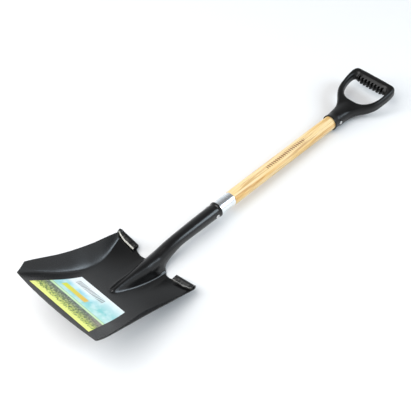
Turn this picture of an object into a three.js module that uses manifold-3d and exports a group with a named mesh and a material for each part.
// A square-mouthed garden spade with a D-grip, in millimetres, +Z up.
//
// It lies with its pan upwards, resting on the pan's heel and on the underside of the grip, with the shaft
// along X and the grip at +X. The pieces are shaped in the tool's own frame: x runs along the shaft's axis
// from the socket's mouth (x = 0) to the grip, y goes across the pan, and z is the side that the pan
// opens to.
import * as THREE from 'three';
import { mergeVertices } from 'three/addons/utils/BufferGeometryUtils.js';
import Module from 'manifold-3d';

const wasm = await Module();
wasm.setup();

// Driving dimensions
const SHEET = 1.8;                    // blade's sheet steel
const GAP = 0.3;                      // between pieces that touch on the real tool

const PAN_HALF_WIDTH = 120;           // floor's corner at the front edge
const FRONT_X = -462;                 // front edge at its corners
const FRONT_BOW = 9;                  // how far the front edge bulges at its middle
const WALL_FRONT_X = -435.5;          // where the chamfered front corner reaches the wall's top edge
const REAR_X = -190;                  // rear edge under the foot treads
const FLAT_END_X = -400;              // the pan's floor is flat from the front edge to here
const HEEL_X = -195;
const HEEL_Z = -34.6;
const FLOOR_RADIUS = 388;             // the floor's lengthwise curve, behind the flat part
const HEEL_SLOPE = 0.052;             // sine of the floor's slope at the heel

const SHOULDER_LIFT = 18;             // how far the floor lifts at the rear, out at the walls
const SHOULDER_FROM_X = -300;
const SHOULDER_FROM_Y = 40;
const REAR_CORNER = 6;                // rounding of the rear corners, seen from above

const TREAD_INNER_Y = 57.5;
const TREAD_RADIUS = 4;               // inside radius of the rolled foot tread
const TREAD_RISE = 3;                 // straight stretch between the roll's two bends
const TREAD_ROLL = 100;               // degrees
const TREAD_LIP = 6.5;
const TREAD_OUTER_DROP = 3;           // how much lower the tread stands on the sheet at its outer end

const NOTCH_DEPTH = 6;
const NECK_X = -189;                  // where the pan's middle ridge turns into the socket
const NECK_TOP = 3.8;
const NECK_HALF_WIDTH = 29;
const FROG_TIP_X = -329;              // front tip of the middle ridge
const FROG_TIP_HALF_WIDTH = 5;
const MIDDLE_HALF_WIDTH = 15;         // least half-width of the net's middle strip
const SEAM_TURN = 173;                // degrees from the socket's top round to its seam

const SHAFT_RADIUS = 17.5;
const TENON_RADIUS = 15.6;            // turned down under the ferrule
const TENON_END_X = -108;
const FERRULE_RADIUS = 16.8;
const FERRULE_WALL = 1;
const FERRULE_START_X = 0.3;
const FERRULE_END_X = 47;

const GRIP_X = 411.4;                 // rim of the grip's collar
const COLLAR_RADIUS = 20.8;
const COLLAR_DEPTH = 48;
const GRIP_PITCH = 11;                // degrees that the hand loop leans up from the shaft
const GRIP_BEND = 39.4;               // distance from the rim to where it starts to lean
const GRIP_HALF_THICK = 14;
const GRIP_ROUND = 6;                 // edge rounding
const BAR_X = 139;                    // crossbar's middle line, from the bend
const BAR_DROP = 2;                   // how far that line lies below the loop's middle
const BAR_RADIUS = 14.5;              // upright; the bar is an oval, wider along the tool
const BAR_OVAL = 1.19;
const BAR_END_RADIUS = 11;
const BAR_HALF_WIDTH = 50;
const BAR_STRAIGHT = 30;              // half-length of its even middle stretch
const LOOP_OUTER = 153.5;             // the loop's outer face behind the crossbar, from the bend
const RIB_COUNT = 7;
const RIB_WALL = 5;
const CELLS_HALF_WIDTH = 40;
const CELLS_TOP = 10;                 // above and below the loop's middle
const CELLS_BOTTOM = -9;
const CELLS_DEPTH = 14;
const LIP = 4;                        // each cell's floor is open behind a lip of this thickness

const RIVET_RADIUS = 2.5;
const RIVET_HEAD_RADIUS = 5;
const RIVET_HEAD = 1.9;
const SOCKET_RIVET_X = -14;
const GRIP_RIVET_X = GRIP_X + 22;
const WASHER_RADIUS = 5.5;
const WASHER = 1;

const LABEL_FRONT_X = -457;
const LABEL_REAR_X = -341;
const LABEL_FRONT_HALF = 87;
const LABEL_REAR_HALF = 66;
const LABEL_THICK = 0.4;

// The wall of the pan at stations from front to rear: where it leaves the floor (from), where its top edge
// lies (edge), and how high that edge stands above the middle of the floor (rise).
const WALL = [
  { x: -475, from: 118, edge: 130, rise: 8.6 },
  { x: -455, from: 115.5, edge: 129.2, rise: 14.2 },
  { x: -425, from: 110, edge: 127, rise: 23.4 },
  { x: -390, from: 99, edge: 123.2, rise: 31.8 },
  { x: -350, from: 88, edge: 118.7, rise: 36.8 },
  { x: -305, from: 80, edge: 116, rise: 38.4 },
  { x: -265, from: 85, edge: 115.2, rise: 35.8 },
  { x: -225, from: 98, edge: 115.4, rise: 31.4 },
  { x: -190, from: 109, edge: 115.4, rise: 23 },
  { x: -180, from: 111, edge: 115, rise: 20 },
];

// The socket at stations from the neck to the mouth: the height and radius of its round top, and the sheet's
// free edge, which turns under and closes into a seam.
const SOCKET = [
  { x: -189, centre: -12.6, radius: 16.4, edgeY: 29, edgeZ: -34.8 },
  { x: -184, centre: -11.4, radius: 16.3, edgeY: 20.5, edgeZ: -32.5 },
  { x: -178, centre: -10, radius: 16.2, edgeY: 16.5, edgeZ: -30.2 },
  { x: -170, centre: -8.2, radius: 16.1, edgeY: 13.5, edgeZ: -27.2 },
  { x: -160, centre: -6, radius: 16, edgeY: 10.5, edgeZ: -24.2 },
  { x: -150, centre: -4.2, radius: 15.9, edgeY: 7.5, edgeZ: -21.6 },
  { x: -138, centre: -2.6, radius: 15.8, edgeY: 4, edgeZ: -19 },
  { x: -124, centre: -1.3, radius: 15.7, edgeY: 1, edgeZ: -17 },
  { x: -100, centre: -0.4, radius: 16, edgeY: 0.6, edgeZ: -16.4 },
  { x: -60, centre: 0, radius: 16.7, edgeY: 0.6, edgeZ: -16.7 },
  { x: -20, centre: 0, radius: 17.2, edgeY: 0.6, edgeZ: -17.2 },
  { x: -7, centre: 0, radius: 17.3, edgeY: 0.6, edgeZ: -17.3 },
  { x: -3.5, centre: 0, radius: 18.6, edgeY: 0.6, edgeZ: -18.6 },
  { x: 0, centre: 0, radius: 19.1, edgeY: 0.6, edgeZ: -19.1 },
];

// Small helpers
const clamp01 = (value) => Math.min(1, Math.max(0, value));
const smooth = (value) => clamp01(value) ** 2 * (3 - 2 * clamp01(value));
const mix = (a, b, share) => a + (b - a) * share;

// A value of a list of stations at x, on a smooth curve through the stations.
function along(stations, x, key) {
  let i = 0;
  while (i < stations.length - 2 && x > stations[i + 1].x) i += 1;
  const [a, b] = [stations[i], stations[i + 1]];
  const before = stations[Math.max(0, i - 1)];
  const after = stations[Math.min(stations.length - 1, i + 2)];
  const slopeA = (b[key] - before[key]) / (b.x - before.x);
  const slopeB = (after[key] - a[key]) / (after.x - a.x);
  const span = b.x - a.x;
  const s = clamp01((x - a.x) / span);
  return a[key] * (1 - s) ** 2 * (1 + 2 * s) + b[key] * s ** 2 * (3 - 2 * s)
    + span * (slopeA * s * (1 - s) ** 2 - slopeB * s ** 2 * (1 - s));
}

// A closed shell of even thickness below a net of points. Each face of the net is four point numbers,
// counter-clockwise as seen from the outside.
function pressedSheet(points, faces, thickness) {
  const net = new THREE.BufferGeometry();
  const top = faces.flatMap(([a, b, c, d]) => [a, b, c, a, c, d]);
  net.setAttribute('position', new THREE.Float32BufferAttribute(points.flatMap((p) => [p.x, p.y, p.z]), 3));
  net.setIndex(top);
  net.computeVertexNormals();
  const normal = new THREE.Vector3();
  const under = points.map((p, i) => {
    normal.fromBufferAttribute(net.attributes.normal, i);
    return p.clone().addScaledVector(normal, -thickness);
  });
  const count = points.length;
  const directed = new Set();
  for (const face of faces) face.forEach((a, k) => directed.add(`${a},${face[(k + 1) % 4]}`));
  const index = [...top];
  for (let i = 0; i < top.length; i += 3) index.push(top[i] + count, top[i + 2] + count, top[i + 1] + count);
  for (const edge of directed) {
    const [a, b] = edge.split(',').map(Number);
    if (!directed.has(`${b},${a}`)) index.push(b, a, a + count, b, a + count, b + count);
  }
  const shell = new THREE.BufferGeometry();
  const all = [...points, ...under].flatMap((p) => [p.x, p.y, p.z]);
  shell.setAttribute('position', new THREE.Float32BufferAttribute(all, 3));
  shell.setIndex(index);
  return shell;
}

function toSolid(geometry) {
  const plain = geometry.clone();
  plain.deleteAttribute('normal');
  plain.deleteAttribute('uv');
  const merged = mergeVertices(plain, 1e-4);
  const mesh = new wasm.Mesh({
    numProp: 3,
    vertProperties: new Float32Array(merged.attributes.position.array),
    triVerts: new Uint32Array(merged.index.array),
  });
  return new wasm.Manifold(mesh);
}

function toGeometry(solid) {
  const mesh = solid.getMesh();
  const geometry = new THREE.BufferGeometry();
  geometry.setAttribute('position', new THREE.BufferAttribute(new Float32Array(mesh.vertProperties), 3));
  geometry.setIndex([...mesh.triVerts]);
  return geometry;
}

// A turned solid about the X axis from [x, radius] pairs.
function turned(profile, sides) {
  const points = profile.map(([x, radius]) => new THREE.Vector2(radius, x));
  return new THREE.LatheGeometry(points, sides).rotateZ(-Math.PI / 2);
}

// A turned solid about a line along Y at x, from [y, radius] pairs.
function turnedAcross(profile, x, sides) {
  const points = profile.map(([y, radius]) => new THREE.Vector2(radius, y));
  return new THREE.LatheGeometry(points, sides).translate(x, 0, 0);
}

// A pin that passes right through the shaft and everything around it
function rivetHole(x) {
  const [reach, radius] = [40, RIVET_RADIUS + GAP];
  return toSolid(turnedAcross([[-reach, 0], [-reach, radius], [reach, radius], [reach, 0]], x, 16));
}

// Blade: the pan's surface
function floorHeight(x) {
  const sineAt = (at) => HEEL_SLOPE + (HEEL_X - at) / FLOOR_RADIUS;
  const sine = sineAt(Math.max(x, FLAT_END_X));
  const height = HEEL_Z + FLOOR_RADIUS * (Math.sqrt(1 - HEEL_SLOPE ** 2) - Math.sqrt(1 - sine ** 2));
  return height + Math.max(0, FLAT_END_X - x) * sine / Math.sqrt(1 - sine ** 2);
}

// The floor is level across in front, and lifts towards the shoulders at the rear.
function shoulderLift(x, y) {
  const lift = SHOULDER_LIFT * smooth((x - SHOULDER_FROM_X) / (REAR_X - SHOULDER_FROM_X));
  return lift * clamp01((Math.abs(y) - SHOULDER_FROM_Y) / (PAN_HALF_WIDTH - 5 - SHOULDER_FROM_Y)) ** 1.2;
}

function wallHeight(x, y) {
  const from = along(WALL, x, 'from');
  const edge = along(WALL, x, 'edge');
  const t = clamp01((Math.abs(y) - from) / (edge - from));
  const softness = 0.3;
  return (along(WALL, x, 'rise') - shoulderLift(x, edge)) * (1 + softness) * t ** 2 / (t + softness);
}

// The frog is the ridge along the pan's middle. Its share runs from its tip to the neck.
const frogShare = (x) => clamp01((x - FROG_TIP_X) / (NECK_X - FROG_TIP_X));
const frogHalfWidth = (x) => mix(FROG_TIP_HALF_WIDTH, NECK_HALF_WIDTH, frogShare(x) ** 0.8);

function frogHeight(x, y) {
  const share = frogShare(x);
  const crest = mix(floorHeight(FROG_TIP_X), NECK_TOP, share);
  const across = clamp01(Math.abs(y) / frogHalfWidth(x));
  const profile = Math.cos(Math.PI / 2 * across ** mix(1.2, 1.6, share)) ** 2;
  return Math.max(0, crest - floorHeight(x)) * profile * smooth(share * 12 + 0.1);
}

function panPoint(x, y) {
  const z = floorHeight(x) + shoulderLift(x, y) + wallHeight(x, y) + frogHeight(x, y);
  return new THREE.Vector3(x, y, z);
}

// Lines across the pan, from the middle to the wall's top edge. Each has a zone and a share of that zone.
const FROG_STEPS = 10;
const NOTCH_SHARES = [0.16, 0.32, 0.5, 0.68, 0.84, 1];
const SIDE_SHARES = [0.14, 0.28, 0.4, 0.5, 0.59, 0.67, 0.75, 0.82, 0.88, 0.94, 0.98, 1];
const halfLines = [
  ...Array.from({ length: FROG_STEPS + 1 }, (_, i) => ({ zone: 'frog', share: i / FROG_STEPS })),
  ...NOTCH_SHARES.map((share) => ({ zone: 'notch', share })),
  ...SIDE_SHARES.map((share) => ({ zone: 'side', share })),
];
const lines = [
  ...halfLines.slice(1).reverse().map((line) => ({ ...line, side: -1 })),
  ...halfLines.map((line) => ({ ...line, side: 1 })),
];

function lineY(line, x) {
  const frogEdge = Math.max(MIDDLE_HALF_WIDTH, frogHalfWidth(x));
  if (line.zone === 'frog') return frogEdge * line.share;
  if (line.zone === 'notch') return mix(frogEdge, TREAD_INNER_Y, line.share);
  return mix(TREAD_INNER_Y, along(WALL, x, 'edge'), line.share);
}

function lineFront(line) {
  const y = lineY(line, FRONT_X);
  const bow = FRONT_X - FRONT_BOW * (1 - Math.min(1, y / PAN_HALF_WIDTH) ** 2);
  const cornerStart = PAN_HALF_WIDTH - 2;
  const corner = clamp01((y - cornerStart) / (along(WALL, FRONT_X, 'edge') - cornerStart));
  return bow + (WALL_FRONT_X - FRONT_X) * corner;
}

function lineRear(line) {
  if (line.zone === 'notch' && line.share < 1) {
    return REAR_X - NOTCH_DEPTH * Math.sin(Math.PI * line.share) ** 0.6;
  }
  const past = clamp01((lineY(line, REAR_X) - along(WALL, REAR_X, 'edge')) / REAR_CORNER + 1);
  return REAR_X - REAR_CORNER * (1 - Math.sqrt(1 - past ** 2));
}

// The foot tread: the sheet turns up at the pan's rear edge, rises, and rolls forward over the pan.
function treadPath() {
  const path = [];
  for (let i = 1; i <= 3; i += 1) {
    const turn = (i / 3) * Math.PI / 2;
    path.push([TREAD_RADIUS * Math.sin(turn), TREAD_RADIUS * (1 - Math.cos(turn))]);
  }
  const roll = THREE.MathUtils.degToRad(TREAD_ROLL);
  for (let i = 0; i <= 5; i += 1) {
    const turn = (i / 5) * roll;
    path.push([TREAD_RADIUS * Math.cos(turn), TREAD_RADIUS * (1 + Math.sin(turn)) + TREAD_RISE]);
  }
  const [x, z] = path.at(-1);
  path.push([x - TREAD_LIP * Math.sin(roll), z + TREAD_LIP * Math.cos(roll)]);
  return path;
}

function socketPoint(station, share, side) {
  const end = THREE.MathUtils.degToRad(SEAM_TURN);
  const turn = share * end;
  const round = { y: station.radius * Math.sin(turn), z: station.centre + station.radius * Math.cos(turn) };
  const pull = share ** 3.5;
  const y = round.y + pull * (station.edgeY - station.radius * Math.sin(end));
  const z = round.z + pull * (station.edgeZ - station.centre - station.radius * Math.cos(end));
  return new THREE.Vector3(station.x, side * y, z);
}

function blade() {
  const rows = 22;
  const tread = treadPath();
  const points = [];
  const columns = lines.map((line) => {
    const column = [];
    const put = (point) => column.push(points.push(point) - 1);
    for (let i = 0; i <= rows; i += 1) {
      const x = mix(lineFront(line), lineRear(line), i / rows);
      put(panPoint(x, line.side * lineY(line, x)));
    }
    if (line.zone === 'frog') {
      for (const station of SOCKET.slice(1)) put(socketPoint(station, line.share, line.side));
    } else if (line.zone === 'side' || line.share === 1) {
      const foot = points.at(-1).clone();
      const outward = (Math.abs(foot.y) - TREAD_INNER_Y) / (PAN_HALF_WIDTH - TREAD_INNER_Y);
      const drop = TREAD_OUTER_DROP * smooth(outward);
      const lowered = (dz) => dz - drop * Math.min(1, dz / (TREAD_RADIUS + TREAD_RISE));
      for (const [dx, dz] of tread) put(new THREE.Vector3(foot.x + dx, foot.y, foot.z + lowered(dz)));
    }
    return column;
  });
  const faces = [];
  for (let j = 0; j + 1 < columns.length; j += 1) {
    const [a, b] = [columns[j], columns[j + 1]];
    const rungs = Math.min(a.length, b.length) - 1;
    for (let i = 0; i < rungs; i += 1) faces.push([a[i], a[i + 1], b[i + 1], b[i]]);
  }
  const shell = toSolid(pressedSheet(points, faces, SHEET));
  return toGeometry(shell.subtract(rivetHole(SOCKET_RIVET_X)));
}

// Shaft and ferrule
function shaft() {
  const flatSide = Math.cos(Math.PI / 2 / FROG_STEPS);
  const clearance = 2.5 * GAP;
  const inSocket = (x) => (
    (along(SOCKET, x, 'radius') - SHEET) * flatSide + along(SOCKET, x, 'centre') - clearance);
  const profile = [
    [TENON_END_X, 0],
    [TENON_END_X, inSocket(TENON_END_X) - 2],
    [TENON_END_X + 3, inSocket(TENON_END_X + 3) - 0.4],
    ...[-100, -60, -20, -9].map((x) => [x, inSocket(x)]),
    [FERRULE_START_X, inSocket(-9)],
    [FERRULE_START_X, TENON_RADIUS - GAP],
    [FERRULE_END_X + GAP, TENON_RADIUS - GAP],
    [FERRULE_END_X + GAP, SHAFT_RADIUS - 0.6],
    [FERRULE_END_X + GAP + 0.8, SHAFT_RADIUS],
    [GRIP_X + COLLAR_DEPTH - 2.5, SHAFT_RADIUS],
    [GRIP_X + COLLAR_DEPTH - 1, SHAFT_RADIUS - 1.5],
    [GRIP_X + COLLAR_DEPTH - 1, 0],
  ];
  const wood = toSolid(turned(profile, 40));
  return toGeometry(wood.subtract(rivetHole(SOCKET_RIVET_X)).subtract(rivetHole(GRIP_RIVET_X)));
}

function ferrule() {
  const inner = FERRULE_RADIUS - FERRULE_WALL;
  return turned([
    [FERRULE_START_X, inner],
    [FERRULE_END_X, inner],
    [FERRULE_END_X, FERRULE_RADIUS - 0.4],
    [FERRULE_END_X - 0.6, FERRULE_RADIUS],
    [FERRULE_START_X + 0.6, FERRULE_RADIUS],
    [FERRULE_START_X, FERRULE_RADIUS - 0.4],
    [FERRULE_START_X, inner],
  ].reverse(), 40);
}

// Grip: the hand loop's outline, in its own leaning plane, from the bend in the collar
function loopOutline() {
  const outline = new THREE.Shape();
  outline.moveTo(-14, -17);
  outline.bezierCurveTo(8, -18, 23, -24, 42, -39);
  outline.bezierCurveTo(58, -53, 73, -60, 93, -62);
  outline.bezierCurveTo(105, -63.5, 115, -65, 128, -65);
  outline.bezierCurveTo(143, -65, LOOP_OUTER, -62, LOOP_OUTER, -48);
  outline.lineTo(LOOP_OUTER, 48);
  outline.bezierCurveTo(LOOP_OUTER, 62, 143, 65, 128, 65);
  outline.bezierCurveTo(115, 65, 105, 63.5, 93, 62);
  outline.bezierCurveTo(73, 60, 58, 53, 42, 39);
  outline.bezierCurveTo(23, 24, 8, 18, -14, 17);
  outline.closePath();
  const gap = new THREE.Path();
  const inner = BAR_X - 4;
  gap.moveTo(53, -8);
  gap.bezierCurveTo(53, -34, 77, -48, 105, -51);
  gap.bezierCurveTo(121, -52, inner, -50, inner, -40);
  gap.lineTo(inner, 40);
  gap.bezierCurveTo(inner, 50, 121, 52, 105, 51);
  gap.bezierCurveTo(77, 48, 53, 34, 53, 8);
  gap.closePath();
  outline.holes.push(gap);
  return outline;
}

const leaning = (geometry) => (
  geometry.rotateY(-THREE.MathUtils.degToRad(GRIP_PITCH)).translate(GRIP_X + GRIP_BEND, 0, 0));

// The crossbar is an oval barrel, turned so that one of its flats faces the hand.
function crossbar() {
  const sides = 24;
  return turnedAcross([
    [-BAR_HALF_WIDTH, 0],
    [-BAR_HALF_WIDTH, BAR_END_RADIUS],
    [-BAR_STRAIGHT, BAR_RADIUS],
    [BAR_STRAIGHT, BAR_RADIUS],
    [BAR_HALF_WIDTH, BAR_END_RADIUS],
    [BAR_HALF_WIDTH, 0],
  ], 0, sides).rotateY(Math.PI / sides).scale(BAR_OVAL, 1, 1).translate(BAR_X, 0, -BAR_DROP);
}

// The cells between the ribs: each is open to the hand, and its floor is open behind the lip.
function cells() {
  const count = RIB_COUNT + 1;
  const pitch = 2 * CELLS_HALF_WIDTH / count;
  const front = BAR_X - BAR_RADIUS * BAR_OVAL;
  const block = (x0, x1, y, z0, z1) => toSolid(leaning(
    new THREE.BoxGeometry(x1 - x0, pitch - RIB_WALL, z1 - z0).translate((x0 + x1) / 2, y, (z0 + z1) / 2)));
  return Array.from({ length: count }, (_, i) => {
    const y = (i + 0.5) * pitch - CELLS_HALF_WIDTH;
    const hollow = block(front - 1, front + CELLS_DEPTH, y, CELLS_BOTTOM, CELLS_TOP);
    return hollow.add(block(front + LIP, front + CELLS_DEPTH, y, -2 * GRIP_HALF_THICK, 0));
  });
}

function grip() {
  const loop = new THREE.ExtrudeGeometry(loopOutline(), {
    depth: 2 * (GRIP_HALF_THICK - GRIP_ROUND),
    bevelThickness: GRIP_ROUND,
    bevelSize: GRIP_ROUND,
    bevelOffset: -GRIP_ROUND,
    bevelSegments: 3,
    curveSegments: 7,
  }).translate(0, 0, GRIP_ROUND - GRIP_HALF_THICK);
  const collar = turned([
    [GRIP_X, 0],
    [GRIP_X, COLLAR_RADIUS - 0.8],
    [GRIP_X + 0.8, COLLAR_RADIUS],
    [GRIP_X + 20, COLLAR_RADIUS],
    [GRIP_X + COLLAR_DEPTH, COLLAR_RADIUS - 1.2],
    [GRIP_X + 60, COLLAR_RADIUS - 3.6],
    [GRIP_X + 72, COLLAR_RADIUS - 8.4],
    [GRIP_X + 78, 0],
  ], 40);
  const bore = turned([
    [GRIP_X - 1, 0],
    [GRIP_X - 1, SHAFT_RADIUS + GAP],
    [GRIP_X + COLLAR_DEPTH, SHAFT_RADIUS + GAP],
    [GRIP_X + COLLAR_DEPTH, 0],
  ], 40);
  let body = toSolid(leaning(loop)).add(toSolid(leaning(crossbar()))).add(toSolid(collar));
  body = body.subtract(toSolid(bore)).subtract(rivetHole(GRIP_RIVET_X));
  for (const cell of cells()) body = body.subtract(cell);
  return toGeometry(body);
}

// Rivets: a domed head on the -Y side, and a closed end over a washer on the +Y side
function rivet(x, halfSpan) {
  const dome = Array.from({ length: 5 }, (_, i) => {
    const turn = (i / 4) * Math.PI / 2;
    return [-halfSpan - RIVET_HEAD * Math.cos(turn), RIVET_HEAD_RADIUS * Math.sin(turn)];
  });
  const end = halfSpan + WASHER + 2 * GAP;
  return turnedAcross([
    ...dome,
    [-halfSpan, RIVET_RADIUS],
    [end, RIVET_RADIUS],
    [end, RIVET_RADIUS + 1.3],
    [end + 1.2, RIVET_RADIUS + 0.9],
    [end + 1.8, 0],
  ], x, 20);
}

function washer(x, halfSpan) {
  const start = halfSpan + GAP;
  return turnedAcross([
    [start, RIVET_RADIUS + GAP],
    [start, WASHER_RADIUS],
    [start + WASHER, WASHER_RADIUS],
    [start + WASHER, RIVET_RADIUS + GAP],
    [start, RIVET_RADIUS + GAP],
  ], x, 20);
}

// Label on the flat front of the pan
function label() {
  const [columnCount, rowCount] = [8, 12];
  const points = [];
  for (let j = 0; j <= columnCount; j += 1) {
    for (let i = 0; i <= rowCount; i += 1) {
      const x = mix(LABEL_FRONT_X, LABEL_REAR_X, i / rowCount);
      const half = mix(LABEL_FRONT_HALF, LABEL_REAR_HALF, i / rowCount);
      const point = panPoint(x, mix(-half, half, j / columnCount));
      points.push(point.setZ(point.z + (GAP + LABEL_THICK) * 1.2));
    }
  }
  const faces = [];
  for (let j = 0; j < columnCount; j += 1) {
    for (let i = 0; i < rowCount; i += 1) {
      const a = j * (rowCount + 1) + i;
      faces.push([a, a + 1, a + rowCount + 2, a + rowCount + 1]);
    }
  }
  return pressedSheet(points, faces, LABEL_THICK);
}

const MATERIALS = {
  blade_paint: { color: 0x1a1b1d, roughness: 0.45, metalness: 0.1 },
  wood: { color: 0xdcb982, roughness: 0.6, metalness: 0 },
  zinc: { color: 0xc9ced2, roughness: 0.25, metalness: 1 },
  grip_plastic: { color: 0x1c1c1d, roughness: 0.5, metalness: 0 },
  rivet_steel: { color: 0x8d9196, roughness: 0.35, metalness: 1 },
  label_print: { color: 0xa9cf9f, roughness: 0.4, metalness: 0 },
};

const socketRadius = along(SOCKET, SOCKET_RIVET_X, 'radius') + GAP;
const collarRadius = COLLAR_RADIUS + GAP;
const PIECES = [
  ['blade', blade(), 'blade_paint'],
  ['shaft', shaft(), 'wood'],
  ['ferrule', ferrule(), 'zinc'],
  ['grip', grip(), 'grip_plastic'],
  ['socket_rivet', rivet(SOCKET_RIVET_X, socketRadius), 'rivet_steel'],
  ['socket_rivet_washer', washer(SOCKET_RIVET_X, socketRadius), 'rivet_steel'],
  ['grip_rivet', rivet(GRIP_RIVET_X, collarRadius), 'rivet_steel'],
  ['grip_rivet_washer', washer(GRIP_RIVET_X, collarRadius), 'rivet_steel'],
  ['label', label(), 'label_print'],
];

const tool = new THREE.Group();
for (const [name, geometry, material] of PIECES) {
  const mesh = new THREE.Mesh(geometry, new THREE.MeshStandardMaterial(MATERIALS[material]));
  mesh.name = name;
  tool.add(mesh);
}

// Laid down: the tool is turned about Y until its blade and its grip both touch the ground.
const lowest = (name) => {
  tool.updateMatrixWorld(true);
  const mesh = tool.getObjectByName(name);
  const point = new THREE.Vector3();
  let low = new THREE.Vector3(0, 0, Infinity);
  for (let i = 0; i < mesh.geometry.attributes.position.count; i += 1) {
    point.fromBufferAttribute(mesh.geometry.attributes.position, i).applyMatrix4(mesh.matrixWorld);
    if (point.z < low.z) low = point.clone();
  }
  return low;
};
for (let i = 0; i < 4; i += 1) {
  const [heel, hand] = [lowest('blade'), lowest('grip')];
  tool.rotation.y += Math.atan((hand.z - heel.z) / (hand.x - heel.x));
}
tool.updateMatrixWorld(true);
const box = new THREE.Box3().setFromObject(tool, true);
tool.position.set(-(box.min.x + box.max.x) / 2, 0, -box.min.z);

const spade = new THREE.Group();
spade.add(tool);
export default spade;
